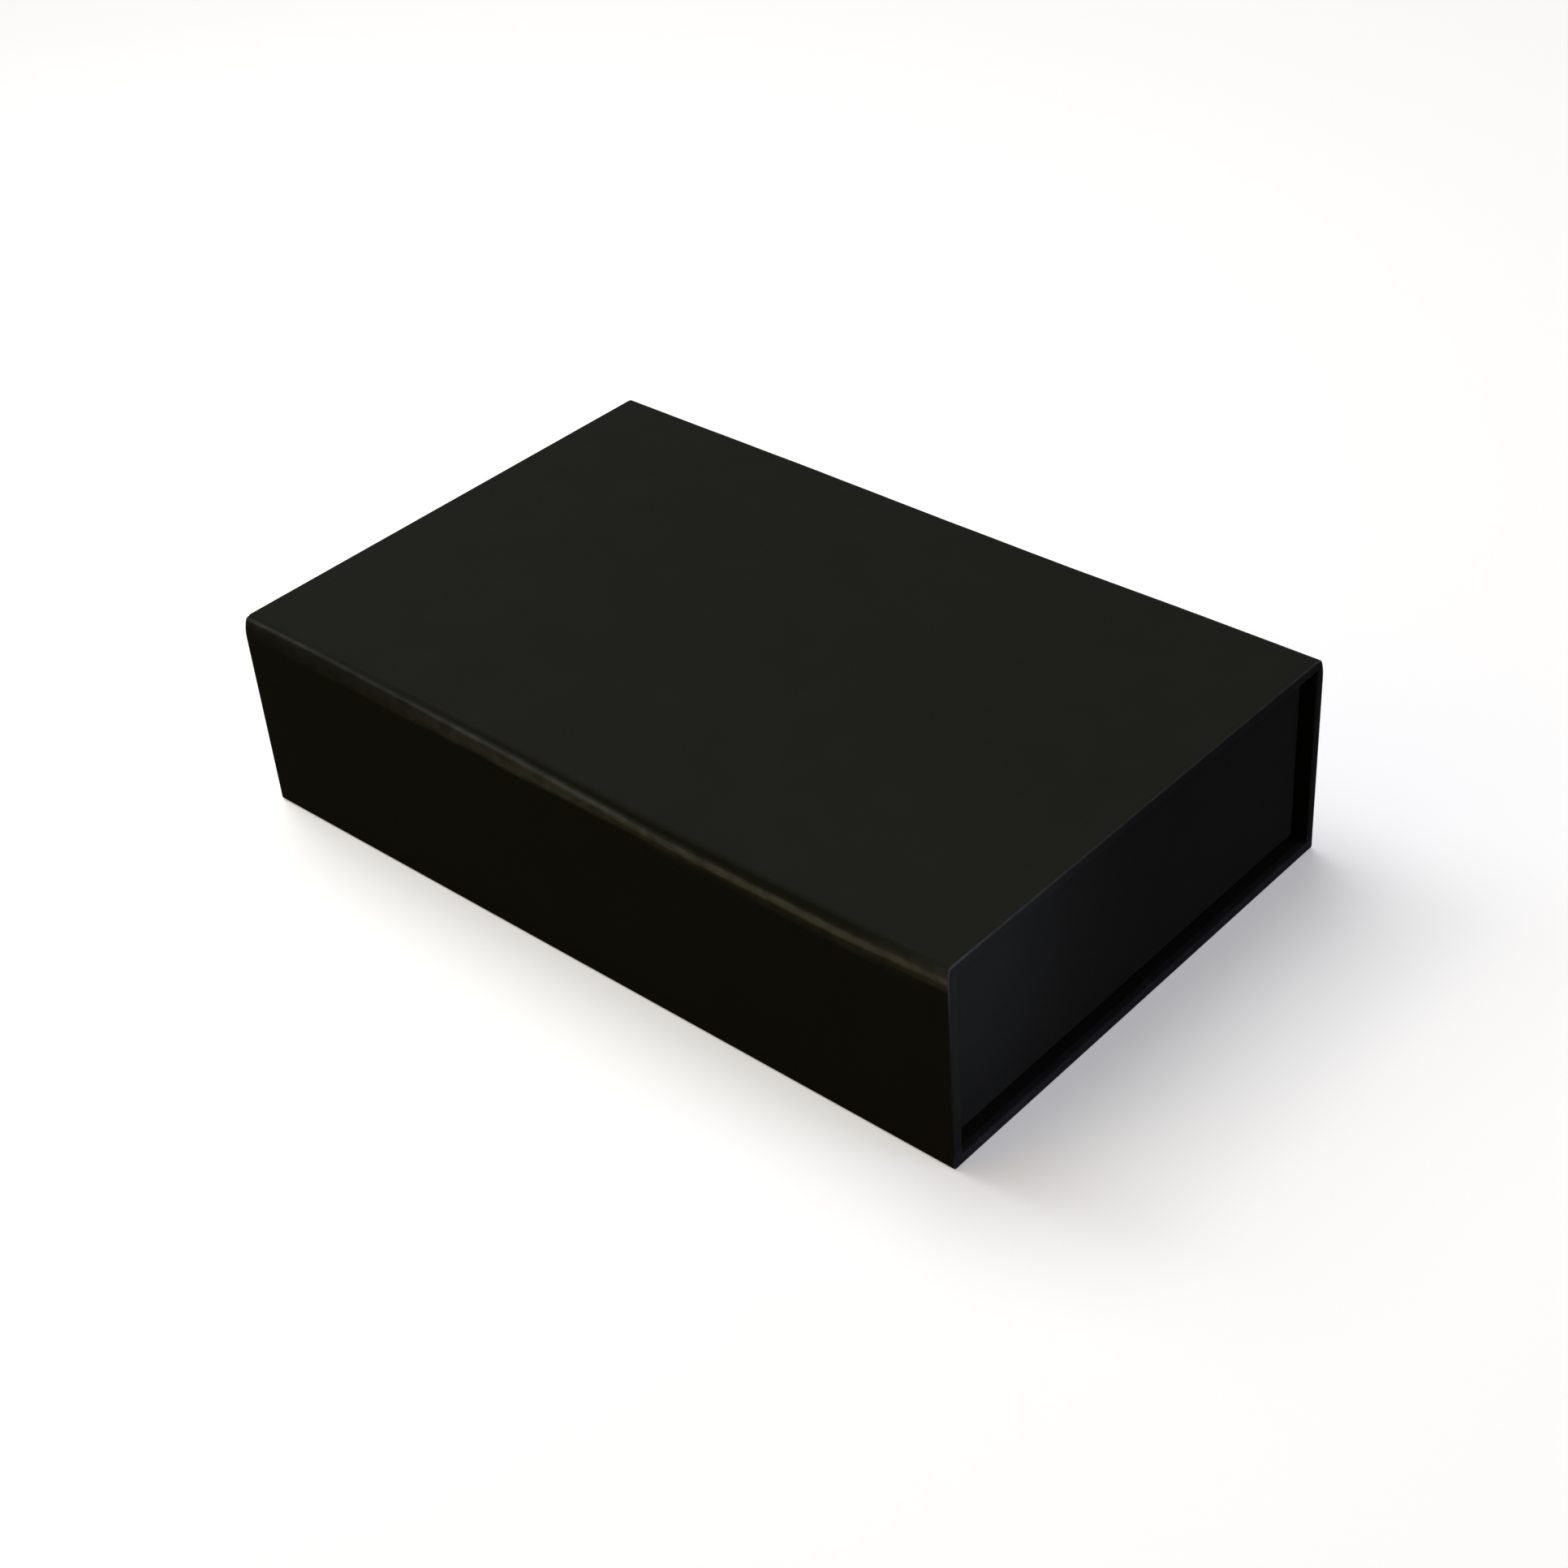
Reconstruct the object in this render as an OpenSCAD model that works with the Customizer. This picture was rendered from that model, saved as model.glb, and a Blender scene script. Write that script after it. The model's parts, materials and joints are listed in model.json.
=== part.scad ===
// Rigid gift box with a push-through drawer: a paper-covered greyboard sleeve, open at both
// short ends, and a tray that slides through it either way.
// Millimetres. X runs from mouth to mouth, Z is up, and the box stands on z = 0.
// "Left" is -Y and "right" is +Y, as seen when facing the +X mouth.

/* [Sleeve] */
// Length from one open mouth to the other
sleeve_l = 240; // [180:5:300]
// Width over the two rolled top edges
sleeve_w = 150; // [110:5:200]
// Height over the rolled top edges
sleeve_h = 60; // [40:1:90]
// Thickness of the sleeve's greyboard
sleeve_board_t = 2.5; // [2:0.1:3]
// Distance from the middle of a rolled edge to the outer faces of the boards it joins
hinge_r = 3.2; // [3.1:0.1:4]
// Open gap between the underside of the top board and the top of each side board
hinge_gap = 2; // [0.7:0.1:3]
// Height by which the rolled paper stands above the flat faces
roll_rise = 0.15; // [0.1:0.05:0.2]
// Depth to which the cover paper is turned in at each mouth
mouth_turn_in = 16; // [10:1:25]

/* [Drawer] */
// Thickness of the drawer's greyboard
drawer_board_t = 2; // [1.5:0.1:2.5]
// Depth of the drawer's end panels behind the mouths
drawer_recess = 4; // [2:0.5:8]
// Play between the drawer and each side of the sleeve
side_play = 0.7; // [0.4:0.1:1.5]
// Play under the drawer
base_play = 0.9; // [0.3:0.1:1.2]
// Play over the drawer's rim
top_play = 0.9; // [0.4:0.1:2]
// Depth to which the cover paper is turned in over the rim
rim_turn_in = 15; // [10:1:20]
// Width of the cover paper's flaps glued under the base
foot_flap = 15; // [10:1:25]

/* [Paper] */
// Thickness of every sheet of paper
paper_t = 0.2; // [0.15:0.05:0.25]
// Thickness of the gummed tape at the corners, pressed flush into the board
tape_t = 0.15; // [0.1:0.05:0.2]
// Width of each leg of a corner tape
tape_leg = 14; // [8:1:18]
// Distance from each mouth to the edge of the sleeve's lining paper
mouth_setback = 7; // [3:0.5:9]
// Distance from the rim to the edge of the drawer's lining paper
rim_setback = 3; // [2:0.5:6]
// Distance from the outer edges to the edge of a base sheet
sheet_inset = 1.5; // [1:0.5:4]
// Width of the seam where the cover paper's two edges meet under the sleeve
seam_gap = 0.15; // [0.1:0.05:0.5]

/* [Folds] */
// Rounding of the folds round the mouths and the rim
fold_r = 0.6; // [0.5:0.05:0.8]
// Rounding of the drawer's upright corners
corner_r = 0.8; // [0.6:0.05:1.2]
// Rounding of the drawer's lower edges
foot_r = 1.5; // [0.8:0.1:1.6]

/* [Hidden] */
$fn = 64;

GREYBOARD = "#8d8478";
KRAFT = "#a98a5f";
BLACK_PAPER = "#20201d";
BLACK_LINING = "#24231f";

// Sleeve: half sizes and heights of its faces
mouth_x = sleeve_l / 2;
flat_y = sleeve_w / 2 - roll_rise;
flat_top = sleeve_h - roll_rise;
cover_low = paper_t;                                // under the cover, above the base sheet
roll_r = hinge_r + paper_t + roll_rise;
roll_y = sleeve_w / 2 - roll_r;
roll_z = sleeve_h - roll_r;
sleeve_wall = sleeve_board_t + 2 * paper_t;         // cover, board and turn-in
way_y = flat_y - sleeve_wall;                       // inner faces of the turn-ins
way_low = cover_low + sleeve_wall;
way_top = flat_top - sleeve_wall;

// Drawer: half sizes and heights of its faces
end_x = mouth_x - drawer_recess;
side_y = way_y - paper_t - side_play;
foot_z = way_low + paper_t + base_play;             // lowest face, of the base sheet
tray_low = foot_z + paper_t;                        // under the cover paper
rim_z = way_top - paper_t - top_play;
drawer_wall = drawer_board_t + 2 * paper_t;
floor_z = tray_low + paper_t + drawer_board_t;      // upper face of the base board
hollow_x = end_x - drawer_wall;                     // inner faces of the rim turn-in
hollow_y = side_y - drawer_wall;
turn_in_foot = rim_z - rim_turn_in;

notch_half = 1.6;                                   // half width of a V notch at its open end
big = 2 * sleeve_l;

// ---- helpers ----

// Flat box from low to high on the second axis, centred on the first
module flat_box(half, low, high) {
    translate([-half, low]) square([2 * half, high - low]);
}

// Solid box centred on X and Y
module slab(half_x, half_y, low, high) {
    translate([-half_x, -half_y, low]) cube([2 * half_x, 2 * half_y, high - low]);
}

// Flat outline drawn in (Y, Z) and run along X
module along_x(l) {
    rotate([90, 0, 90]) linear_extrude(l, center = true) children();
}

// Flat outline drawn in (X, Z) and run along Y
module along_y(l) {
    rotate([90, 0, 0]) linear_extrude(l, center = true) children();
}

// Flat outline drawn in (X, Y) and run along Z, both ways from z = 0
module along_z(l) {
    linear_extrude(2 * l, center = true) children();
}

// Flat rectangle with two rounded lower corners and two rounded upper ones
module round_rect(half, low, high, r_low, r_high) {
    mid = (low + high) / 2;
    flat_box(half, low + r_low, high - r_high);
    flat_box(half - r_low, low, mid);
    flat_box(half - r_high, mid, high);
    for (side = [-1, 1]) {
        translate([side * (half - r_low), low + r_low]) circle(r_low);
        translate([side * (half - r_high), high - r_high]) circle(r_high);
    }
}

// Flat passage along the first axis that ends in a mouth with rounded lips
module way(start, mouth, low, high, r) {
    translate([start, low]) square([mouth - start + 2 * r, high - low]);
    difference() {
        translate([mouth - r, low - r]) square([3 * r, high - low + 2 * r]);
        for (y = [low - r, high + r]) translate([mouth - r, y]) circle(r);
    }
}

// V notch cut between two neighbouring turn-ins: its point at the origin, opening along +X,
// in the corner whose inner side faces +Z
module corner_notch(length) {
    linear_extrude(2 * notch_half, center = true)
        polygon([[0, 0], [length, notch_half], [length, -notch_half]]);
}

// ---- sleeve ----

// Outside of the cover paper, or the form that lies d inside it
module sleeve_form(d) {
    intersection() {
        along_x(sleeve_l - 2 * d) {
            flat_box(roll_y, cover_low + d, flat_top - d);
            flat_box(flat_y - d, cover_low + fold_r, roll_z);
            flat_box(flat_y - fold_r, cover_low + d, roll_z);
            for (side = [-1, 1]) {
                translate([side * (flat_y - fold_r), cover_low + fold_r]) circle(fold_r - d);
                translate([side * roll_y, roll_z]) circle(roll_r - d);
            }
        }
        along_y(big)
            round_rect(mouth_x - d, cover_low + d, sleeve_h - d, fold_r - d, fold_r - d);
        along_z(big)
            round_rect(mouth_x - d, d - sleeve_w / 2, sleeve_w / 2 - d, fold_r - d, fold_r - d);
    }
}

// The open way through the sleeve, or the one whose walls lie d deeper in the material
module sleeve_way(d) {
    intersection() {
        along_y(big) for (end = [0, 1])
            mirror([end, 0]) way(-1, mouth_x - d, way_low - d, way_top + d, fold_r - d);
        along_z(big) for (end = [0, 1])
            mirror([end, 0]) way(-1, mouth_x - d, -way_y - d, way_y + d, fold_r - d);
    }
}

// The space between the cover paper and its turn-ins, which the boards fill
module sleeve_board_space() {
    difference() {
        sleeve_form(paper_t);
        sleeve_way(paper_t);
    }
}

// Where the corner tape lies: side is -1 or 1, and top is 0 or 1
module sleeve_tape_zone(side, top) {
    y = way_y + sleeve_wall;
    z = top * (way_top - tape_leg) + (1 - top) * (way_low - sleeve_wall);
    translate([-mouth_x + mouth_turn_in / 2, side > 0 ? way_y - tape_leg : -y, z])
        cube([sleeve_l - mouth_turn_in, tape_leg + sleeve_wall, tape_leg + sleeve_wall]);
}

module sleeve_tape(side, top) {
    color(KRAFT) intersection() {
        sleeve_tape_zone(side, top);
        difference() {
            sleeve_way(paper_t + tape_t);
            sleeve_way(paper_t);
        }
    }
}

// A board of the sleeve: eased where the paper folds round it, with beds for its tapes
module sleeve_board(y0, y1, z0, z1) {
    color(GREYBOARD) difference() {
        intersection() {
            translate([-mouth_x, y0, z0]) cube([sleeve_l, y1 - y0, z1 - z0]);
            sleeve_board_space();
        }
        for (side = [-1, 1], top = [0, 1]) intersection() {
            sleeve_tape_zone(side, top);
            sleeve_way(paper_t + tape_t);
        }
    }
}

board_out_y = flat_y - paper_t;
board_in_y = board_out_y - sleeve_board_t;
base_board_top = cover_low + paper_t + sleeve_board_t;
top_board_low = flat_top - paper_t - sleeve_board_t;
side_board_top = top_board_low - hinge_gap;

module sleeve_base_board() {
    sleeve_board(-board_out_y, board_out_y, cover_low, base_board_top);
}

module sleeve_left_board() {
    sleeve_board(-board_out_y, -board_in_y, base_board_top, side_board_top);
}

module sleeve_right_board() {
    sleeve_board(board_in_y, board_out_y, base_board_top, side_board_top);
}

module sleeve_top_board() {
    sleeve_board(-roll_y, roll_y, top_board_low, flat_top - paper_t);
}

// One sheet of cover paper round all four boards. It rolls over the gaps at the two top edges,
// turns in at both mouths, and its own two edges meet under the middle of the base.
module sleeve_wrap() {
    color(BLACK_PAPER) difference() {
        sleeve_form(0);
        sleeve_way(0);
        sleeve_board_space();
        slab(mouth_x - mouth_turn_in, board_in_y, base_board_top, top_board_low);
        slab(big, seam_gap / 2, -1, way_low + 1);
        for (side = [-1, 1], top = [0, 1], end = [0, 1])
            mirror([end, 0, 0])
                translate([
                    -mouth_x + 2 * fold_r,
                    side * board_in_y,
                    top ? top_board_low : base_board_top
                ])
                rotate([side * (top ? 135 : 45), 0, 0])
                corner_notch(mouth_turn_in);
    }
}

// Lining paper round the inside, stepped up onto the turn-ins at its ends
module sleeve_liner() {
    step_x = mouth_x - mouth_turn_in;
    color(BLACK_LINING) difference() {
        union() {
            slab(step_x, board_in_y, base_board_top, top_board_low);
            slab(mouth_x - mouth_setback, way_y, way_low, way_top);
        }
        slab(step_x - 2 * paper_t, way_y, way_low, way_top);
        slab(big, way_y - paper_t, way_low + paper_t, way_top - paper_t);
    }
}

// Thin sheet under the base, which hides the seam and carries the box
module sleeve_base_sheet() {
    color(BLACK_PAPER)
        slab(mouth_x - sheet_inset, flat_y - sheet_inset, 0, paper_t);
}

// ---- drawer ----

// Outside of the cover paper, or the form that lies d inside it
module drawer_form(d) {
    intersection() {
        along_x(big) round_rect(side_y - d, tray_low + d, rim_z - d, foot_r - d, fold_r - d);
        along_y(big) round_rect(end_x - d, tray_low + d, rim_z - d, foot_r - d, fold_r - d);
        along_z(big) round_rect(end_x - d, d - side_y, side_y - d, corner_r - d, corner_r - d);
    }
}

// The open inside, or the one whose walls lie d deeper in the material
module drawer_hollow(d) {
    intersection() {
        along_x(big)
            rotate(90) way(floor_z, rim_z - d, -hollow_y - d, hollow_y + d, fold_r - d);
        along_y(big)
            rotate(90) way(floor_z, rim_z - d, -hollow_x - d, hollow_x + d, fold_r - d);
    }
}

// The space between the cover paper and its turn-in, which the boards fill
module drawer_board_space() {
    difference() {
        drawer_form(paper_t);
        drawer_hollow(paper_t);
    }
}

// Where a corner tape lies: along and side are -1 or 1
module drawer_tape_zone(along, side) {
    low = tray_low + foot_r;
    mirror([along < 0 ? 1 : 0, 0, 0]) mirror([0, side < 0 ? 1 : 0, 0])
        translate([end_x - tape_leg, side_y - tape_leg, low])
        cube([tape_leg, tape_leg, rim_z - fold_r - low]);
}

module drawer_tape(along, side) {
    color(KRAFT) intersection() {
        drawer_tape_zone(along, side);
        difference() {
            drawer_form(paper_t);
            drawer_form(paper_t + tape_t);
        }
    }
}

// A board of the drawer: eased where the paper folds round it, with beds for its tapes
module drawer_board(half_x, half_y, low, high, at = [0, 0, 0]) {
    color(GREYBOARD) difference() {
        intersection() {
            translate(at) slab(half_x, half_y, low, high);
            drawer_board_space();
        }
        for (along = [-1, 1], side = [-1, 1]) difference() {
            drawer_tape_zone(along, side);
            drawer_form(paper_t + tape_t);
        }
    }
}

wall_half = drawer_board_t / 2;
end_board_x = end_x - paper_t - wall_half;
side_board_y = side_y - paper_t - wall_half;

module drawer_base_board() {
    drawer_board(end_x, side_y, tray_low, floor_z);
}

module drawer_front_board() {
    drawer_board(wall_half, side_y, floor_z, rim_z, [end_board_x, 0, 0]);
}

module drawer_rear_board() {
    drawer_board(wall_half, side_y, floor_z, rim_z, [-end_board_x, 0, 0]);
}

module drawer_left_board() {
    drawer_board(end_board_x - wall_half, wall_half, floor_z, rim_z, [0, -side_board_y, 0]);
}

module drawer_right_board() {
    drawer_board(end_board_x - wall_half, wall_half, floor_z, rim_z, [0, side_board_y, 0]);
}

// One sheet of cover paper round the tray: over the rim, down inside, and flaps under the base
module drawer_wrap() {
    flap_x = end_x - foot_flap;
    flap_y = side_y - foot_flap;
    color(BLACK_PAPER) difference() {
        drawer_form(0);
        drawer_hollow(0);
        drawer_board_space();
        slab(hollow_x + paper_t, hollow_y + paper_t, floor_z, turn_in_foot);
        slab(flap_x, flap_y, tray_low - 1, floor_z);
        for (along = [0, 1], side = [0, 1]) mirror([along, 0, 0]) mirror([0, side, 0]) {
            translate([hollow_x + paper_t, hollow_y + paper_t, rim_z - 2 * fold_r])
                rotate([0, 90, 0]) rotate([135, 0, 0]) corner_notch(rim_turn_in);
            translate([end_x - foot_r, side_y - foot_r, tray_low])
                rotate(-135) linear_extrude(3 * paper_t, center = true)
                polygon([[0, 0], [2 * foot_flap, notch_half], [2 * foot_flap, -notch_half]]);
        }
    }
}

// Sheet under the tray: over the flaps all round, and pressed up to the board between them
module drawer_base_sheet() {
    pad_x = end_x - foot_flap;
    pad_y = side_y - foot_flap;
    inset = 2 * sheet_inset;
    color(BLACK_PAPER) difference() {
        union() {
            slab(end_x - inset, side_y - inset, foot_z, tray_low);
            slab(pad_x, pad_y, foot_z, tray_low + paper_t);
        }
        slab(pad_x - 2 * paper_t, pad_y - 2 * paper_t, foot_z - 1, tray_low);
    }
}

// Lining paper round the walls, stepped up onto the rim's turn-in
module drawer_side_liner() {
    step = 2 * paper_t;
    color(BLACK_LINING) difference() {
        union() {
            slab(hollow_x + paper_t, hollow_y + paper_t, floor_z, turn_in_foot);
            slab(hollow_x, hollow_y, floor_z, rim_z - rim_setback);
        }
        slab(hollow_x, hollow_y, floor_z - 1, turn_in_foot - step);
        slab(hollow_x - paper_t, hollow_y - paper_t, floor_z - 1, rim_z);
    }
}

module drawer_base_liner() {
    color(BLACK_LINING) slab(hollow_x, hollow_y, floor_z, floor_z + paper_t);
}

sleeve_base_sheet();
sleeve_base_board();
sleeve_left_board();
sleeve_right_board();
sleeve_top_board();
sleeve_tape(-1, 0);  // sleeve_tape_base_left
sleeve_tape(1, 0);  // sleeve_tape_base_right
sleeve_tape(-1, 1);  // sleeve_tape_top_left
sleeve_tape(1, 1);  // sleeve_tape_top_right
sleeve_wrap();
sleeve_liner();
drawer_base_board();
drawer_front_board();
drawer_rear_board();
drawer_left_board();
drawer_right_board();
drawer_tape(1, -1);  // drawer_tape_front_left
drawer_tape(1, 1);  // drawer_tape_front_right
drawer_tape(-1, -1);  // drawer_tape_rear_left
drawer_tape(-1, 1);  // drawer_tape_rear_right
drawer_wrap();
drawer_base_sheet();
drawer_side_liner();
drawer_base_liner();
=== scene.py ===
import json
import math

import bmesh
import bpy
from mathutils import Matrix, Vector, noise


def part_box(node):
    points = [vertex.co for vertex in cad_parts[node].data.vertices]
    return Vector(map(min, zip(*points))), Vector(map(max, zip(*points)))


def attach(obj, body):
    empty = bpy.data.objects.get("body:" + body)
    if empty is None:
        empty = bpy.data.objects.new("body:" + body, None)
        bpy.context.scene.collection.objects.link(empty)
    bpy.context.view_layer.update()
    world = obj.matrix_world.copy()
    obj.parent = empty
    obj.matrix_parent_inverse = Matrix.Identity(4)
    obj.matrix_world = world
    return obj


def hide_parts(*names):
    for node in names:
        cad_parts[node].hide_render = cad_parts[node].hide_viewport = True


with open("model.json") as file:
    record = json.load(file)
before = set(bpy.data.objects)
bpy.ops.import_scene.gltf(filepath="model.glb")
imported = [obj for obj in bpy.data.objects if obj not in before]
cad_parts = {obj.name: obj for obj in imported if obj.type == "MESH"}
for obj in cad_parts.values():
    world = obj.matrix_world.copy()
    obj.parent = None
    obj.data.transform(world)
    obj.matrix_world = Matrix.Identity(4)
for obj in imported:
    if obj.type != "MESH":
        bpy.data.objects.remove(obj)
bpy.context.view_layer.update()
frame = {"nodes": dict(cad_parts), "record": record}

# The looks, light and camera of a paper-covered gift box: a sleeve that is open at both short
# ends, and a tray that slides through it. Both cover papers are made again here, with finer folds
# than in the solids and with their wear; the sleeve's also carries painted highlights, sheen and
# light in the same paler colour. Every other piece is the imported mesh with a material.
# Metres. X runs from mouth to mouth, Z is up, and the box stands on z = 0.

MM = 0.001


# ---- sizes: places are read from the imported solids, and depths and roundings are stated -------

def extent(node, axis):
    """The low and high coordinate of a CAD node along one axis (0, 1 or 2)."""
    low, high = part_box(node)
    return low[axis], high[axis]


class Sleeve:
    """Faces of the sleeve's cover paper, and the way through it."""
    mouth_x = extent("sleeve_wrap", 0)[1]
    crest_y = extent("sleeve_wrap", 1)[1]
    low, crest_z = extent("sleeve_wrap", 2)
    paper = extent("sleeve_base_sheet", 2)[1]
    flat_y = extent("sleeve_right_board", 1)[1] + paper
    flat_top = extent("sleeve_top_board", 2)[1] + paper
    roll_y = extent("sleeve_top_board", 1)[1]
    roll_z = extent("sleeve_right_board", 2)[1]
    way_y = extent("sleeve_right_board", 1)[0] - paper
    way_low = extent("sleeve_base_board", 2)[1] + paper
    way_top = extent("sleeve_top_board", 2)[0] - paper
    turn_in = 16 * MM
    fold_r = 0.5 * MM
    seam = 0.15 * MM                    # between the paper's two edges, under the base
    sill = (2.0 * MM, 2.4 * MM)         # depths between which the painted light on the sill runs out


class Drawer:
    """Faces of the drawer's cover paper."""
    end_x = extent("drawer_wrap", 0)[1]
    side_y = extent("drawer_wrap", 1)[1]
    low, rim_z = extent("drawer_wrap", 2)
    paper = Sleeve.paper
    hollow_x = extent("drawer_front_board", 0)[0] - paper
    hollow_y = extent("drawer_right_board", 1)[0] - paper
    turn_in = 15 * MM
    flap = 15 * MM
    fold_r = 0.5 * MM
    corner_r = 0.8 * MM
    foot_r = 1.5 * MM
    rim_rub = 0.25                      # how readily the folds of the rim are rubbed, from 0 to 1
    fold_rub = 0.08                     # and all the other folds


# ---- shader arithmetic -----------------------------------------------------------------------

class Value:
    """The output of a material's node; a number among them can be written into a sum."""

    def __init__(self, paint, socket):
        self.paint = paint
        self.socket = socket

    def math(self, operation, other, clamp=False):
        settings = {"operation": operation, "use_clamp": clamp}
        return self.paint.node("ShaderNodeMath", settings, {0: self, 1: other})

    def __add__(self, other):
        return self.math("ADD", other)

    def __sub__(self, other):
        return self.math("SUBTRACT", other)

    def __mul__(self, other):
        return self.math("MULTIPLY", other)

    __radd__ = __add__

    def clamp(self):
        return self.math("MULTIPLY", 1.0, clamp=True)

    def fade(self, start, end):
        """1 at start and 0 at end, with a soft slope between."""
        sockets = {"Value": self, "From Min": start, "From Max": end, "To Min": 1.0, "To Max": 0.0}
        return self.paint.node("ShaderNodeMapRange", {"interpolation_type": "SMOOTHSTEP"}, sockets)


class Paint:
    """One procedural material."""

    def __init__(self, name):
        self.material = bpy.data.materials.new(name)
        self.material.use_nodes = True
        self.tree = self.material.node_tree
        self.tree.nodes.clear()
        self.place = self.node("ShaderNodeTexCoord", out="Object")

    def node(self, kind, settings=None, sockets=None, out=0):
        """Adds a node, sets it up, feeds its sockets, and gives the output asked for."""
        made = self.tree.nodes.new(kind)
        for name, value in (settings or {}).items():
            setattr(made, name, value)
        for key, value in (sockets or {}).items():
            self.feed(self.find(made.inputs, key), value)
        return made if out is None else Value(self, self.find(made.outputs, out))

    @staticmethod
    def find(sockets, key):
        """A socket by its number, its identifier or its name."""
        if isinstance(key, int):
            return sockets[key]
        return next(s for s in sockets if key in (s.identifier, s.name))

    def feed(self, socket, value):
        """Links a Value to a socket, or sets a plain number, vector or colour on it."""
        if isinstance(value, Value):
            self.tree.links.new(value.socket, socket)
        elif isinstance(value, tuple) and len(value) == 3 and len(socket.default_value) == 4:
            socket.default_value = (*value, 1.0)
        else:
            socket.default_value = value

    def grain(self, size, detail=2.0, roughness=0.5, stretch=(1, 1, 1)):
        """Noise from 0 to 1 whose spots measure about size, in metres."""
        vector = self.node("ShaderNodeMapping", {"vector_type": "POINT"},
                           {"Vector": self.place, "Scale": tuple(1 / s for s in stretch)}, "Vector")
        sockets = {"Vector": vector, "Scale": 1 / size, "Detail": detail, "Roughness": roughness}
        return self.node("ShaderNodeTexNoise", {"noise_dimensions": "3D"}, sockets, "Fac")

    def attribute(self, name):
        """A number stored on the points of the piece."""
        return self.node("ShaderNodeAttribute", {"attribute_name": name}, out="Fac")

    def mix(self, share, first, second):
        """A colour between first and second."""
        sockets = {"Factor_Float": share, "A_Color": first, "B_Color": second}
        return self.node("ShaderNodeMix", {"data_type": "RGBA"}, sockets, "Result_Color")

    def relief(self, height, depth, under=None):
        """A bump of the given depth in metres, on top of another one if there is one."""
        sockets = {"Strength": 1.0, "Distance": depth, "Height": height}
        if under is not None:
            sockets["Normal"] = under
        return self.node("ShaderNodeBump", {}, sockets, "Normal")

    def finish(self, colour, roughness, normal, specular):
        """Ends the material in one shader."""
        shader = self.node("ShaderNodeBsdfPrincipled", {}, {
            "Base Color": colour, "Roughness": roughness, "Normal": normal,
            "Specular IOR Level": specular}, "BSDF")
        self.node("ShaderNodeOutputMaterial", {}, {"Surface": shader}, out=None)
        return self.material


# ---- materials -------------------------------------------------------------------------------

INK = (0.0122, 0.0126, 0.0102)
INK_PALE = (0.0164, 0.0169, 0.0139)
# Paler colour of rubbed paper, also used for painted highlights, painted sheen and painted light on
# the sleeve
WORN = (0.114, 0.118, 0.122)
PAPER_GLOSS = 0.002
LINING = (0.0085, 0.0085, 0.0076)
LINING_PALE = (0.0130, 0.0129, 0.0116)
LINING_GLOSS = 0.08
BOARD = (0.20, 0.17, 0.14)
BOARD_PALE = (0.36, 0.32, 0.27)
BOARD_FLECK = (0.07, 0.06, 0.055)
BOARD_GLOSS = 0.3
KRAFT = (0.27, 0.16, 0.07)
KRAFT_PALE = (0.46, 0.31, 0.16)
KRAFT_GLOSS = 0.4


def fibre_relief(paint, depth):
    """The felt side of a sheet of paper: fine fibres over a slight unevenness."""
    waves = paint.relief(paint.grain(9 * MM, detail=1.0), 5 * depth)
    felt = paint.grain(0.55 * MM, detail=3.0, roughness=0.6, stretch=(1.8, 1, 1))
    return paint.relief(felt, depth, waves)


def black_paper():
    """Matte black cover paper, rubbed paler and smoother wherever it goes round a tight fold. On
    the sleeve the same paler colour is also painted highlight along the folds and the roll's crest,
    painted sheen on the roll's flank and painted light on the sills.
    """
    paint = Paint("cover_paper")
    mottle = paint.grain(14 * MM, detail=3.0)
    fibres = paint.grain(0.4 * MM, detail=2.0, stretch=(2.5, 1, 1))
    colour = paint.mix((mottle * 0.6 + fibres * 0.4).clamp(), INK, INK_PALE)
    patches = 0.6 + paint.grain(5 * MM, detail=3.0).fade(0.65, 0.35) * 0.4
    # Share of that paler colour: real rubbing, plus painted highlight, sheen and light on the
    # sleeve
    wear = (paint.attribute("rub") * patches).clamp()
    colour = paint.mix(wear, colour, WORN)
    rough = 0.66 + mottle * 0.05 + fibres * 0.05 - wear * 0.10
    return paint.finish(colour, rough, fibre_relief(paint, 0.012 * MM), PAPER_GLOSS)


def lining_paper():
    """Uncoated black lining paper, a little darker and rougher than the cover."""
    paint = Paint("lining_paper")
    mottle = paint.grain(10 * MM, detail=3.0)
    fibres = paint.grain(0.5 * MM, detail=3.0, stretch=(1, 2.2, 1))
    colour = paint.mix((mottle * 0.5 + fibres * 0.5).clamp(), LINING, LINING_PALE)
    rough = 0.68 + fibres * 0.1
    return paint.finish(colour, rough, fibre_relief(paint, 0.02 * MM), LINING_GLOSS)


def greyboard():
    """Recycled grey board: felted, flecked, with a laid-down grain."""
    paint = Paint("greyboard")
    felt = paint.grain(0.9 * MM, detail=4.0, stretch=(2.5, 1.5, 1))
    cloud = paint.grain(12 * MM, detail=3.0)
    colour = paint.mix((felt * 0.6 + cloud * 0.4).clamp(), BOARD, BOARD_PALE)
    flecks = paint.grain(1.6 * MM, detail=1.0).fade(0.30, 0.24)
    colour = paint.mix(flecks * 0.7, colour, BOARD_FLECK)
    return paint.finish(colour, 0.86 + felt * 0.08, paint.relief(felt, 0.05 * MM), BOARD_GLOSS)


def kraft_tape():
    """Gummed brown tape with long fibres."""
    paint = Paint("kraft_tape")
    fibres = paint.grain(0.6 * MM, detail=4.0, stretch=(6, 1, 1))
    cloud = paint.grain(8 * MM, detail=2.0)
    colour = paint.mix((fibres * 0.7 + cloud * 0.3).clamp(), KRAFT, KRAFT_PALE)
    return paint.finish(colour, 0.5 + fibres * 0.15, paint.relief(fibres, 0.03 * MM), KRAFT_GLOSS)


# ---- sheet work ------------------------------------------------------------------------------

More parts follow.
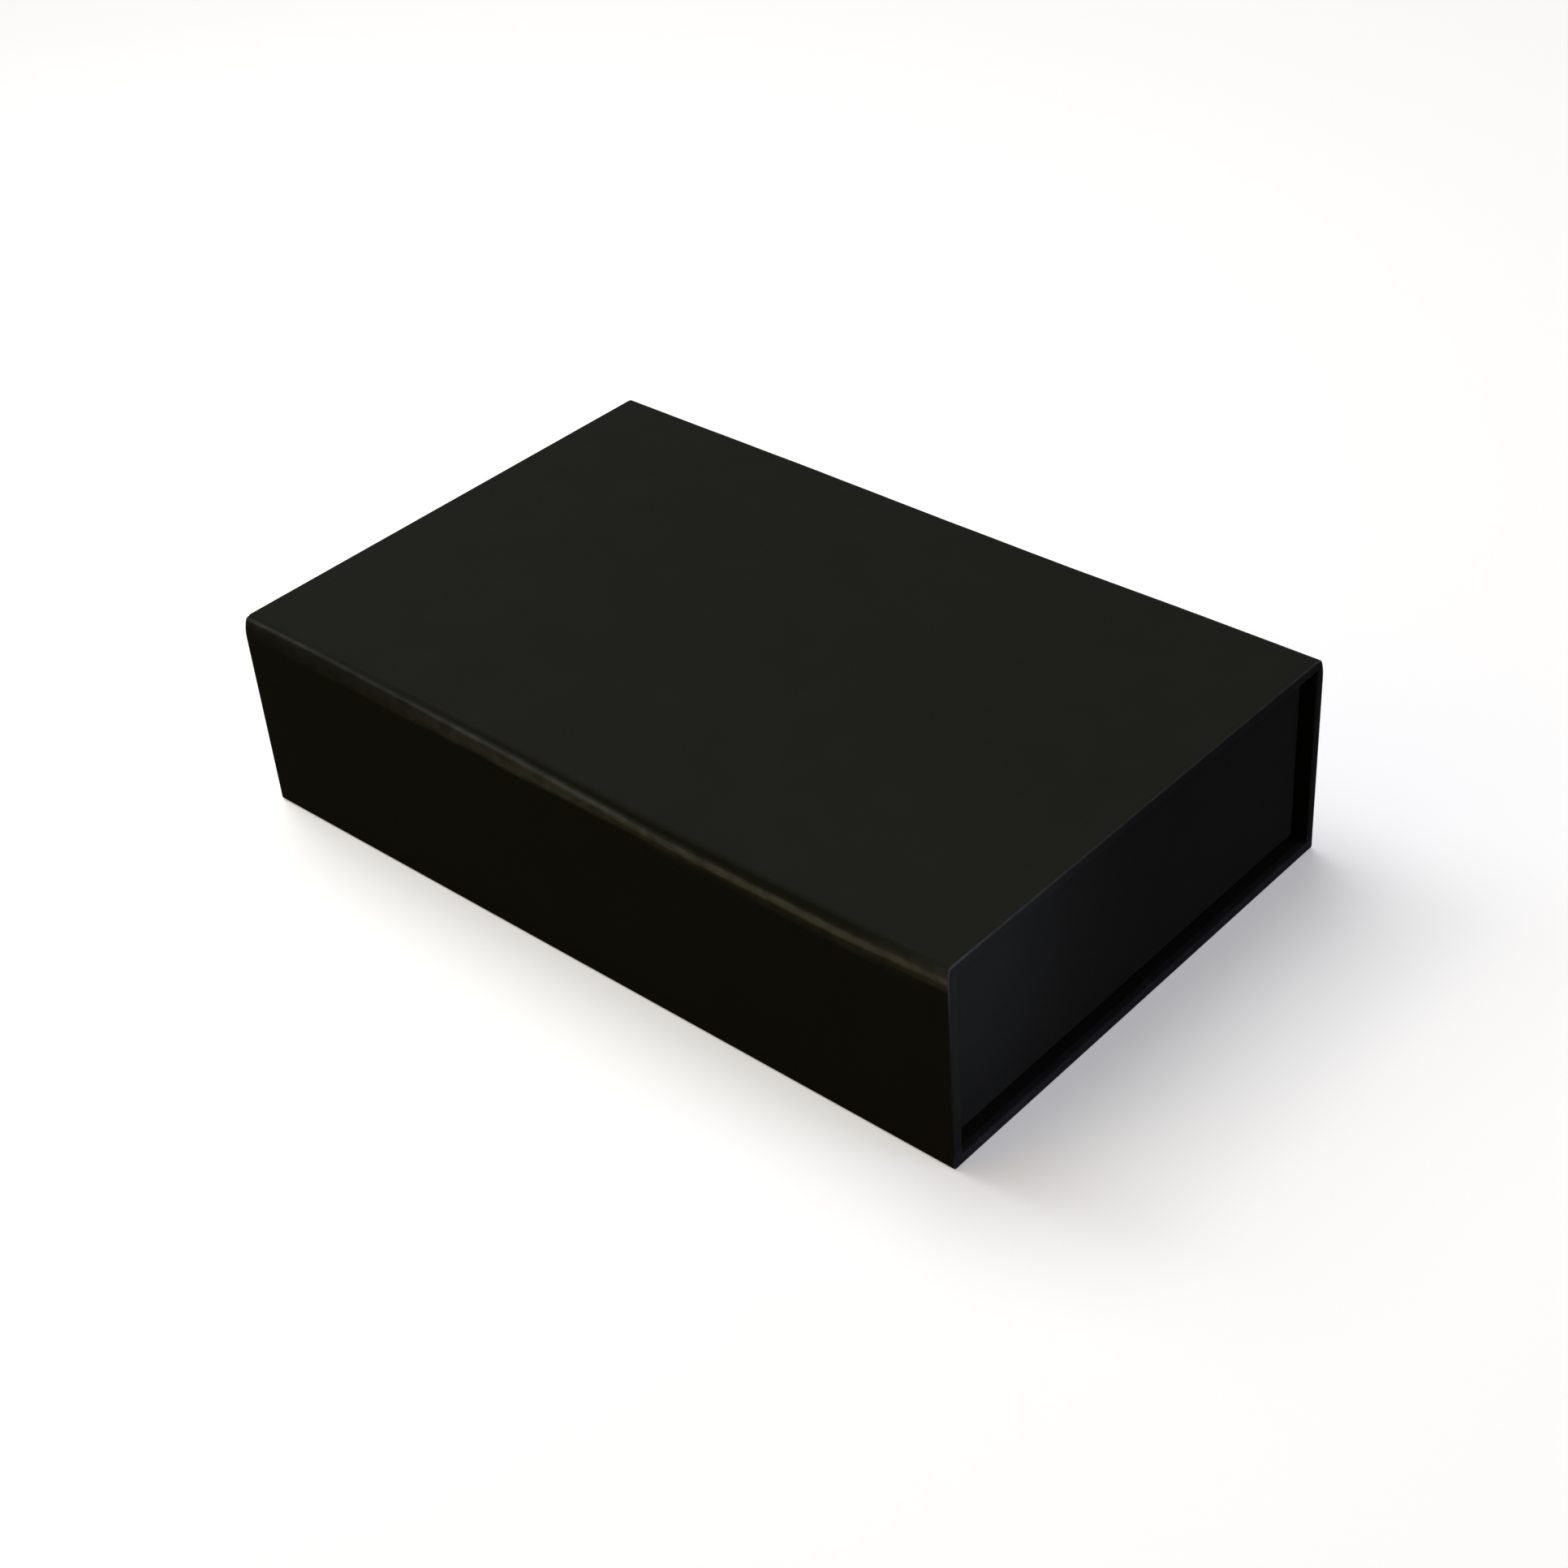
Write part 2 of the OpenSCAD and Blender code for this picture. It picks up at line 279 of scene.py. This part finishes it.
def box_mesh(half_x, half_y, low, high, open_axis):
    """A box centred on X and Y, without the two faces that close it along open_axis."""
    bm = bmesh.new()
    size = Matrix.Diagonal((2 * half_x, 2 * half_y, high - low, 1))
    middle = Matrix.Translation((0, 0, (low + high) / 2))
    bmesh.ops.create_cube(bm, size=1.0, matrix=middle @ size)
    ends = [f for f in bm.faces if abs(f.normal[open_axis]) > 0.5]
    bmesh.ops.delete(bm, geom=ends, context="FACES_ONLY")
    return bm


def edges_where(bm, test):
    """The edges whose two ends both pass a test."""
    return [e for e in bm.edges if all(test(v.co) for v in e.verts)]


def round_edges(bm, edges, radius, segments):
    bmesh.ops.bevel(bm, geom=edges, offset=radius, segments=segments, profile=0.5,
                    affect="EDGES", material=-1)


def even_steps(half, count):
    """Evenly spaced places between -half and half, without these two."""
    return [half * k / count for k in range(1 - count, count)]


def cut(bm, axis, places):
    """Adds a line of vertices across the mesh at each place along an axis."""
    normal = Vector((0, 0, 0))
    normal[axis] = 1
    for place in places:
        geom = bm.verts[:] + bm.edges[:] + bm.faces[:]
        bmesh.ops.bisect_plane(bm, geom=geom, dist=1e-7, plane_co=normal * place, plane_no=normal)


def open_rim(bm, axis, place):
    """The open edges that lie at one place along an axis."""
    return [e for e in bm.edges if e.is_boundary
            and all(abs(v.co[axis] - place) < 1e-6 for v in e.verts)]


def sweep(bm, rim, path):
    """Draws the open edges in rim along a path of functions from a start point to a new place."""
    starts = {v: v.co.copy() for e in rim for v in e.verts}
    for place in path:
        made = bmesh.ops.extrude_edge_only(bm, edges=rim)["geom"]
        new = {g for g in made if isinstance(g, bmesh.types.BMVert)}
        came_from = {v: next(e.other_vert(v) for e in v.link_edges if e.other_vert(v) not in new)
                     for v in new}
        starts = {v: starts[came_from[v]] for v in new}
        rim = [g for g in made if isinstance(g, bmesh.types.BMEdge) and set(g.verts) <= new]
        for v in new:
            v.co = place(starts[v])


def turn_over(axis, end, inner, outer_r, inner_r, depth, steps=4):
    """The path of paper that turns over the edge of a board and runs back down its inner side.

    axis and end say where the edge is, inner gives the point of the inner face next to a point
    of the outer one, and depth is how far the paper runs back. Without a depth it stops at the
    inner point, as a flap glued under a base does."""
    direction = 1 if end > 0 else -1

    def point(back, inward):
        def place(start):
            target = inner(start)
            width = (target - start).length
            share = inward(width) / width if width > 1e-9 else 0
            spot = start.lerp(target, share)
            spot[axis] = end - direction * back
            return spot
        return place

    quarter = [math.pi / 2 * k / steps for k in range(1, steps + 1)]
    path = [point(outer_r * (1 - math.sin(a)), lambda w, a=a: outer_r * (1 - math.cos(a)))
            for a in quarter]
    if depth:
        path += [point(inner_r * (1 - math.cos(a)), lambda w, a=a: w - inner_r * (1 - math.sin(a)))
                 for a in [0.0] + quarter]
        path += [point(inner_r + (depth - inner_r) * k / 4, lambda w: w) for k in range(1, 5)]
    else:
        path += [point(0, lambda w, k=k: outer_r + (w - outer_r) * k / 4) for k in range(1, 5)]
    return path


def clamped(axis_a, low_a, high_a, axis_b, low_b, high_b):
    """Moves a point into a rectangle on two axes."""
    def move(point):
        moved = point.copy()
        moved[axis_a] = min(max(point[axis_a], low_a), high_a)
        moved[axis_b] = min(max(point[axis_b], low_b), high_b)
        return moved
    return move


def part_way(value):
    """The value, held between 0 and 1."""
    return min(max(value, 0), 1)


def bend_at(edge):
    """How tightly the sheet bends outwards across an edge: one over the radius in millimetres."""
    if len(edge.link_faces) != 2 or edge.calc_length() < 1e-7:
        return 0
    apart = sum(f.calc_area() for f in edge.link_faces) / (2 * edge.calc_length())
    return edge.calc_face_angle_signed(0) / max(apart, 1e-6) * MM


def mark_rubbing(bm, rubbed, gentle=1.0, tight=2.2):
    """Stores on each point how much paler it is painted, for rubbing and painted highlight: none on
    gentle bends, all on tight ones, times the share given for the point, plus its scuffs and
    painted light."""
    layer = bm.verts.layers.float.new("rub")
    for v in bm.verts:
        bend = max((bend_at(e) for e in v.link_edges), default=0)
        share, scuffs = rubbed(v.co)
        v[layer] = part_way((bend - gentle) / (tight - gentle)) * share + scuffs


def make_piece(name, bm, material, thickness, rubbed):
    """Turns a sheet into an object with the paper's thickness on its glued side."""
    bmesh.ops.remove_doubles(bm, verts=bm.verts, dist=1e-6)
    bmesh.ops.dissolve_degenerate(bm, dist=1e-7, edges=bm.edges)
    bmesh.ops.recalc_face_normals(bm, faces=bm.faces)
    mark_rubbing(bm, rubbed)
    mesh = bpy.data.meshes.new(name)
    bm.to_mesh(mesh)
    bm.free()
    mesh.shade_smooth()
    mesh.materials.append(material)
    piece = bpy.data.objects.new(name, mesh)
    bpy.context.scene.collection.objects.link(piece)
    wall = piece.modifiers.new("paper", "SOLIDIFY")
    wall.thickness = thickness
    wall.offset = -1
    wall.use_even_offset = True
    return piece


# ---- the sleeve's cover paper ----------------------------------------------------------------

class Roll:
    """How the paper runs from the top board over the hinge gap to a side board.

    A crest paled by rubbing and painted highlight has a groove above it, and below it a band of
    scuffs and painted sheen. Each line of values runs in even steps from the far mouth to the near
    one. Angles and widths go round the roll in degrees from straight up, and heights are in
    millimetres from an even round. A squareness of 2 is an even round, and more fills out the
    corner. Waves are counted along a metre."""
    crest_at = (35, 36, 43, 50, 59, 69, 72, 73, 64)
    crest_rise = (0.20, 0.22, 0.26, 0.32, 0.34, 0.32, 0.30, 0.30, 0.25)
    crest_width = (8, 8, 8, 8, 8, 8, 8, 8, 10)
    # paler share along the crest, for rubbing and painted highlight
    crest_rub = (0.38, 0.29, 0.24, 0.52, 0.66, 1.05, 1.40, 1.45, 1.15)
    rub_width = (6, 6, 6, 7, 8, 9, 9, 9, 7)
    groove_depth = (0.10, 0.12, 0.16, 0.22, 0.24, 0.14, 0.07, 0.06, 0.0)
    groove_width = (7, 7, 7, 7, 7, 7, 6, 6, 6)
    scuff_from = (27, 28, 33, 38, 46, 48, 48, 46, 38)
    scuff_to = (82, 84, 86, 87, 88, 91, 96, 99, 88)
    # paler share in the band below the crest, for scuffs and painted sheen
    scuffs = (0.03, 0.07, 0.17, 0.42, 0.70, 0.38, 0.24, 0.24, 0.45)
    squareness = (2.6, 2.6, 2.6, 2.6, 2.8, 3.6, 4.8, 5.0, 6.0)
    crest_wander, crest_waves = 1.5, 35
    groove_above = 16                   # from the crest up to the groove
    scuff_wander, scuff_waves = 5, 70   # of the lower edge of the scuffs and painted sheen
    scuff_start, scuff_stop = 18, 10    # how softly the scuffs and painted sheen begin and end
    unevenness, uneven_waves = 0.05, 55
    run_out = 8                         # where the roll's shape runs out into the flat faces
    tail = 2.5 * MM                     # from the top of the side board down to the roll's start
    low_z = Sleeve.roll_z - tail
    skirt = (0.6 * MM, 1.2 * MM, 2.0 * MM)      # depths below it over which the scuffs and painted sheen run out
    reach_y = Sleeve.flat_y - Sleeve.roll_y
    reach_z = Sleeve.flat_top - low_z
    facets = 32


class Rub:
    """How readily the folds round the sleeve's mouths are painted paler, from 0 to 1, for rubbing
    and painted highlight, and what is added besides: scuffs with painted highlight at the foot,
    painted light on the sill.
    """
    inner_fold = 0.02
    # painted light on the front of the sill inside each mouth
    sill_scuffs = 0.15
    # the mouth's bottom fold: rubbing and painted highlight
    foot_fold, foot_scuffs = 0.40, 0.11
    roll_end = 0.20
    upright_foot, upright_gain = 0.02, 0.08     # the upright folds, from the foot to the top
    corner, corner_reach = 0.25, 9 * MM         # what the top corners have on top of that
    lip = 1.4 * MM                      # how far beyond the way a point is still on its fold
    edge = 1 * MM                       # how far from the mouth or the foot it is on theirs


def roll_angle(co):
    """Where a point lies on a rolled edge, in degrees from straight up, or None on a flat face."""
    across = (abs(co.y) - Sleeve.roll_y) / Roll.reach_y
    up = (co.z - Roll.low_z) / Roll.reach_z
    if across < 1e-3 or up < 1e-3:
        return None
    return math.degrees(math.atan2(across, up))


def along_roll(values, co):
    """The value of a line of Roll at a point; the right roll is the left one turned round."""
    side = 1 if co.y > 0 else -1
    step = (1 - side * co.x / Sleeve.mouth_x) / 2 * (len(values) - 1)
    first = min(max(int(step), 0), len(values) - 2)
    return values[first] + (values[first + 1] - values[first]) * min(step - first, 1)


def bell(place, middle, width):
    """1 in the middle, and less to both sides of it."""
    return math.exp(-((place - middle) / width) ** 2)


def crest_angle(co):
    side = 1 if co.y > 0 else -1
    wave = noise.noise(Vector((co.x * Roll.crest_waves, side * 5, 0)))
    return along_roll(Roll.crest_at, co) + Roll.crest_wander * wave


def roll_shape(co):
    """Moves a point of the even round onto the paper's real run over the gap."""
    angle = roll_angle(co)
    if angle is None:
        return co
    crest = crest_angle(co)
    rise = along_roll(Roll.crest_rise, co) * bell(angle, crest, along_roll(Roll.crest_width, co))
    groove = along_roll(Roll.groove_depth, co) * bell(
        angle, crest - Roll.groove_above, along_roll(Roll.groove_width, co))
    wave = noise.noise(Vector((co.x * Roll.uneven_waves, 5 * co.y / Sleeve.flat_y, 3)))
    edge = min(angle / Roll.run_out, (90 - angle) / Roll.run_out, 1)
    out = (rise - groove + Roll.unevenness * wave) * edge * MM
    across, up = math.sin(math.radians(angle)), math.cos(math.radians(angle))
    square = along_roll(Roll.squareness, co)
    full = (across ** square + up ** square) ** (-1 / square) if up > 1e-6 else 1
    y = min(Sleeve.roll_y + (Roll.reach_y * full + out) * across, Sleeve.crest_y)
    z = min(Roll.low_z + (Roll.reach_z * full + out) * up, Sleeve.crest_z)
    return Vector((co.x, math.copysign(y, co.y), z))


def roll_scuffs(co, angle):
    """How much paler the roll is painted at a point: along its crest, for rubbing and painted
    highlight, and in the band below, for scuffs and painted sheen.
    """
    width = along_roll(Roll.rub_width, co)
    line = along_roll(Roll.crest_rub, co) * bell(angle, crest_angle(co), width)
    wave = noise.noise(Vector((co.x * Roll.scuff_waves, co.y * 9, 1)))
    start = along_roll(Roll.scuff_from, co)
    end = along_roll(Roll.scuff_to, co) + Roll.scuff_wander * wave
    patch = part_way((angle - start) / Roll.scuff_start) * part_way((end - angle) / Roll.scuff_stop)
    return max(line, along_roll(Roll.scuffs, co) * patch)


def sleeve_rubbed(co):
    """How much a point of the sleeve's cover is painted paler at a tight bend, for rubbing and
    painted highlight, and its scuffs and painted light.
    """
    s = Sleeve
    below = (Roll.low_z - co.z) / Roll.skirt[-1]
    angle = 90 if 0 <= below < 1 and abs(co.y) > s.flat_y - 1e-6 else roll_angle(co)
    if angle is not None and abs(co.x) < s.mouth_x - s.fold_r:
        return 0, roll_scuffs(co, angle) * min(1 - below, 1)
    inside = (abs(co.y) < s.way_y + Rub.lip
              and s.way_low - Rub.lip < co.z < s.way_top + Rub.lip)
    on_sill = (inside and co.z < s.way_low + Rub.lip
               and abs(co.x) > s.mouth_x - s.sill[0] - 1e-6)
    if inside or abs(co.x) < s.mouth_x - Rub.edge:
        return Rub.inner_fold, Rub.sill_scuffs if on_sill else 0
    if co.z < s.low + Rub.edge:
        return Rub.foot_fold, Rub.foot_scuffs
    corner = math.dist((abs(co.y), co.z), (s.flat_y, s.flat_top))
    up = (co.z / s.flat_top) ** 2
    along = Rub.roll_end if co.z > Roll.low_z else Rub.upright_foot + Rub.upright_gain * up
    return along + Rub.corner * bell(corner, 0, Rub.corner_reach), 0


def sleeve_wrap(material):
    """One sheet round the four boards, with a seam under the base and turned in at both mouths.

    Its wear and its painted highlights, sheen and light are kept on its points, so the flat faces
    are cut into rows of them as well."""
    s = Sleeve
    body_x = s.mouth_x - s.fold_r
    bm = box_mesh(body_x, s.flat_y, s.low, s.flat_top, open_axis=0)
    round_edges(bm, edges_where(bm, lambda co: co.z > s.roll_z), Roll.reach_y,
                segments=Roll.facets)
    for v in bm.verts:
        if v.co.z > s.roll_z:
            v.co.z = s.flat_top - (s.flat_top - v.co.z) * Roll.reach_z / Roll.reach_y
    round_edges(bm, edges_where(bm, lambda co: co.z < s.low + 1e-6), s.fold_r, segments=4)
    cut(bm, 1, [-s.seam / 2, s.seam / 2])
    strip = [f for f in bm.faces if abs(f.calc_center_median().y) < s.seam / 2
             and f.calc_center_median().z < s.way_low]
    bmesh.ops.delete(bm, geom=strip, context="FACES")
    cut(bm, 0, even_steps(body_x, 60))
    beside_roll = s.roll_y - 0.6 * MM
    cut(bm, 1, [-beside_roll, -s.seam, s.seam, beside_roll])
    cut(bm, 1, [y for y in even_steps(beside_roll, 12) if y])       # the seam has the middle
    cut(bm, 2, [Roll.low_z - depth for depth in Roll.skirt])
    cut(bm, 2, [Roll.low_z * k / 9 for k in range(1, 9)])
    for v in bm.verts:
        v.co = roll_shape(v.co)
    inner = clamped(1, -s.way_y, s.way_y, 2, s.way_low, s.way_top)
    for end in (-s.mouth_x, s.mouth_x):
        place = end - math.copysign(s.fold_r, end)
        path = turn_over(0, end, inner, s.fold_r, s.fold_r, s.turn_in)
        sweep(bm, open_rim(bm, 0, place), path)
    cut(bm, 0, [side * (s.mouth_x - depth) for side in (-1, 1) for depth in s.sill])
    return make_piece("sleeve_cover_paper", bm, material, s.paper, sleeve_rubbed)


# ---- the drawer's cover paper ----------------------------------------------------------------

def drawer_rubbed(co):
    """The drawer's cover is rubbed most on its rim, and it has no scuffs."""
    on_rim = Drawer.rim_z - co.z < 1 * MM
    return Drawer.rim_rub if on_rim else Drawer.fold_rub, 0


def drawer_wrap(material):
    """One sheet round the tray's walls, turned in over the rim and folded under the foot."""
    d = Drawer
    bm = box_mesh(d.end_x, d.side_y, d.low + d.foot_r, d.rim_z - d.fold_r, open_axis=2)
    corners = [e for e in bm.edges if abs(e.verts[0].co.z - e.verts[1].co.z) > 1e-6]
    round_edges(bm, corners, d.corner_r, segments=5)
    cut(bm, 0, even_steps(d.end_x, 20))
    cut(bm, 1, even_steps(d.side_y, 12))
    inside = clamped(0, -d.hollow_x, d.hollow_x, 1, -d.hollow_y, d.hollow_y)
    under = clamped(0, d.flap - d.end_x, d.end_x - d.flap, 1, d.flap - d.side_y, d.side_y - d.flap)
    sweep(bm, open_rim(bm, 2, d.rim_z - d.fold_r),
          turn_over(2, d.rim_z, inside, d.fold_r, d.fold_r, d.turn_in))
    sweep(bm, open_rim(bm, 2, d.low + d.foot_r),
          [foot_fold(place, d) for place in turn_over(2, d.rim_z, under, d.foot_r, 0, 0)])
    return make_piece("drawer_cover_paper", bm, material, d.paper, drawer_rubbed)


def foot_fold(place, d):
    """Mirrors a fold over the rim into the one round the tray's foot."""
    def moved(start):
        spot = place(start)
        spot.z = d.low + (d.rim_z - spot.z)
        return spot
    return moved


# ---- putting the pieces on their bodies ------------------------------------------------------

def dress():
    """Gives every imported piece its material, and puts the finer cover papers in their places."""
    cover = black_paper()
    finishes = {"cover_paper": cover, "lining_paper": lining_paper(),
                "greyboard": greyboard(), "kraft_tape": kraft_tape()}
    for part in frame["record"]["subparts"]:
        mesh = frame["nodes"][part["node"]].data
        mesh.materials.clear()
        mesh.materials.append(finishes[part["material_slot"]])
    made = {"sleeve_wrap": (sleeve_wrap(cover), "sleeve"),
            "drawer_wrap": (drawer_wrap(cover), "drawer")}
    for node, (piece, body) in made.items():
        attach(piece, body)
        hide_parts(node)


# ---- floor, light and camera -----------------------------------------------------------------

def background_rays(tree):
    """1 for rays from the camera, off gloss or through glass, which meet the plain background."""
    path = tree.nodes.new("ShaderNodeLightPath")
    total = path.outputs["Is Camera Ray"]
    for name in ("Is Glossy Ray", "Is Transmission Ray"):
        either = tree.nodes.new("ShaderNodeMath")
        either.operation = "MAXIMUM"
        tree.links.new(total, either.inputs[0])
        tree.links.new(path.outputs[name], either.inputs[1])
        total = either.outputs[0]
    return total


def floor(half=6.0):
    """A white floor: plain white to the camera, and dimmer in what it throws onto the box."""
    paint = Paint("studio_floor")
    seen = paint.node("ShaderNodeBsdfDiffuse", {}, {"Color": (0.80, 0.80, 0.80)}, "BSDF")
    glow = paint.node("ShaderNodeEmission", {}, {"Color": (1, 1, 1), "Strength": 0.35}, "Emission")
    shown = paint.node("ShaderNodeAddShader", {}, {0: seen, 1: glow}, "Shader")
    thrown = paint.node("ShaderNodeBsdfDiffuse", {}, {"Color": (0.10, 0.088, 0.06)}, "BSDF")
    share = Value(paint, background_rays(paint.tree))
    surface = paint.node("ShaderNodeMixShader", {}, {0: share, 1: thrown, 2: shown}, "Shader")
    paint.node("ShaderNodeOutputMaterial", {}, {"Surface": surface}, out=None)
    bm = bmesh.new()
    bmesh.ops.create_grid(bm, x_segments=1, y_segments=1, size=half)
    mesh = bpy.data.meshes.new("studio_floor")
    bm.to_mesh(mesh)
    bm.free()
    mesh.materials.append(paint.material)
    plane = bpy.data.objects.new("studio_floor", mesh)
    bpy.context.scene.collection.objects.link(plane)


def backdrop():
    """White behind everything, with a weak warm light of its own."""
    world = bpy.data.worlds.new("studio")
    bpy.context.scene.world = world
    world.use_nodes = True
    tree = world.node_tree
    tree.nodes.clear()
    mix = tree.nodes.new("ShaderNodeMixShader")
    tree.links.new(background_rays(tree), mix.inputs[0])
    thrown, seen = ((1.0, 0.94, 0.86, 1), 0.08), ((1, 1, 1, 1), 1.0)
    for socket, (colour, strength) in zip(mix.inputs[1:], (thrown, seen)):
        sky = tree.nodes.new("ShaderNodeBackground")
        sky.inputs["Color"].default_value = colour
        sky.inputs["Strength"].default_value = strength
        tree.links.new(sky.outputs[0], socket)
    out = tree.nodes.new("ShaderNodeOutputWorld")
    tree.links.new(mix.outputs[0], out.inputs["Surface"])


def lamp(name, kind, spot, aim, level, colour, **settings):
    """A lamp of some kind at spot, turned towards aim."""
    data = bpy.data.lights.new(name, kind)
    data.energy = level
    data.color = colour
    for key, value in settings.items():
        setattr(data, key, value)
    light = bpy.data.objects.new(name, data)
    light.location = spot
    light.rotation_euler = (Vector(aim) - Vector(spot)).to_track_quat("-Z", "Y").to_euler()
    bpy.context.scene.collection.objects.link(light)
    return light


def softbox(name, spot, aim, width, height, watts, colour):
    """A rectangular lamp at spot, turned towards aim, which the camera doesn't see."""
    light = lamp(name, "AREA", spot, aim, watts, colour,
                 shape="RECTANGLE", size=width, size_y=height)
    light.visible_camera = False


def spotlight(name, spot, aim, cone, watts, colour):
    """A pool of light with a soft edge at aim, from a lamp at spot; cone in degrees."""
    lamp(name, "SPOT", spot, aim, watts, colour,
         spot_size=math.radians(cone), spot_blend=1.0, shadow_soft_size=0.03)


def skylight(name, spot, spread, level, colour):
    """Even light over the whole floor from the direction of spot, as wide as spread in degrees."""
    lamp(name, "SUN", (0, 0, 0), -Vector(spot), level, colour, angle=math.radians(spread))


def lights():
    """Soft lamps that bring the top, the long side and the end to the photograph's levels."""
    skylight("overhead", (-0.40, 0.10, 0.86), 45, 1.82, (0.95, 0.96, 0.98))
    skylight("window", (0.66, 0.20, 0.16), 30, 1.10, (0.67, 0.65, 1.0))
    skylight("front_fill", (-0.40, -0.75, 0.40), 50, 0.58, (1.0, 0.72, 0.12))
    spotlight("near_end", (0.64, -0.10, 0.13), (0.12, -0.068, 0.052), 12, 7.2, (0.72, 0.76, 1.0))
    softbox("far_left", (-0.40, -0.05, 0.50), (-0.10, 0.0, 0.06), 0.3, 0.3, 1.2, (1.0, 1.0, 0.97))


def camera():
    """The photograph's viewpoint, with its azimuth, elevation and roll in degrees."""
    azimuth, elevation, roll = (math.radians(a) for a in (44.24, 36.09, -4.71))
    place = (0.39128, -0.39874, 0.41980)
    focal_pixels, frame_pixels = 3182.7, 1932
    forward = Vector((-math.sin(azimuth) * math.cos(elevation),
                      math.cos(azimuth) * math.cos(elevation), -math.sin(elevation)))
    level = forward.cross(Vector((0, 0, 1))).normalized()
    upright = level.cross(forward)
    right = level * math.cos(roll) + upright * math.sin(roll)
    up = right.cross(forward)
    lens = bpy.data.cameras.new("viewpoint")
    lens.sensor_width = 36
    lens.lens = focal_pixels / frame_pixels * lens.sensor_width
    eye = bpy.data.objects.new("viewpoint", lens)
    turn = Matrix((right, up, -forward)).transposed().to_4x4()
    eye.matrix_world = Matrix.Translation(place) @ turn
    bpy.context.scene.collection.objects.link(eye)
    bpy.context.scene.camera = eye


camera()
dress()
floor()
backdrop()
lights()
bpy.context.scene.view_settings.view_transform = "Standard"
